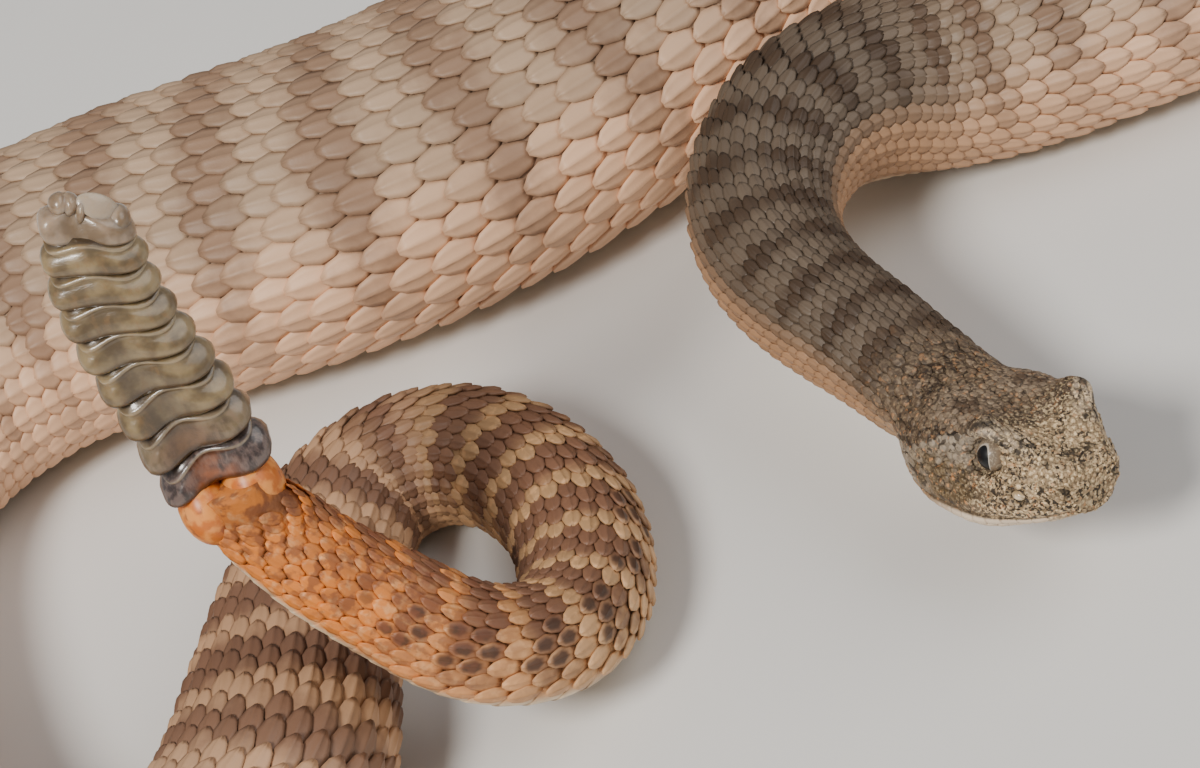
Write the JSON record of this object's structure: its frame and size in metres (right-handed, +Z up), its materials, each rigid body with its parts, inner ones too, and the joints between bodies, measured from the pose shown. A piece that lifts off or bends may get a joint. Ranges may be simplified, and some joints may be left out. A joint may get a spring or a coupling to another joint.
{
  "type": "tiger rattlesnake model",
  "caption": "Life-size still model of a tiger rattlesnake lying in an open coil, its small head and neck held off the floor and its rattle raised upright.",
  "frame": {"origin": "on the floor, under the middle of the bounding box", "axes": "+Z up, +X to the picture's right along the longest side of the coil, +Y away from the viewer; the head faces -Y"},
  "size_m": [0.306, 0.1948, 0.0968],
  "materials": {
    "head_skin": "finely scaled, matt, speckled stone brown",
    "eye": "clear wet cover over a speckled iris with an upright slit pupil",
    "body_skin": "keeled scales, matt, pink-grey with brown crossbands",
    "tail_skin": "keeled scales, matt, banded brown and tan",
    "tail_end_skin": "keeled scales, satin, orange with dark spots",
    "rattle_horn": "smooth, glossy, slightly clear horn",
    "new_rattle_horn": "smooth, glossy, dark new horn"
  },
  "bodies": {
    "root": {"head": "head_skin", "lower_jaw": "head_skin", "eye_left": "eye", "eye_right": "eye", "neck_front": "body_skin", "neck_bend": "body_skin", "body_1": "body_skin", "body_2": "body_skin", "body_3": "body_skin", "body_4": "body_skin", "body_5": "body_skin", "body_6": "body_skin", "body_7": "body_skin", "body_8": "body_skin", "body_9": "body_skin", "body_10": "body_skin", "tail_base": "tail_skin", "tail_middle": "tail_skin", "tail_raised": "tail_skin", "tail_end": "tail_end_skin", "rattle_1": "new_rattle_horn", "rattle_2": "rattle_horn", "rattle_3": "rattle_horn", "rattle_4": "rattle_horn", "rattle_5": "rattle_horn", "rattle_6": "rattle_horn", "rattle_7": "rattle_horn", "rattle_8": "rattle_horn", "rattle_9": "rattle_horn"}
  },
  "joints": []
}
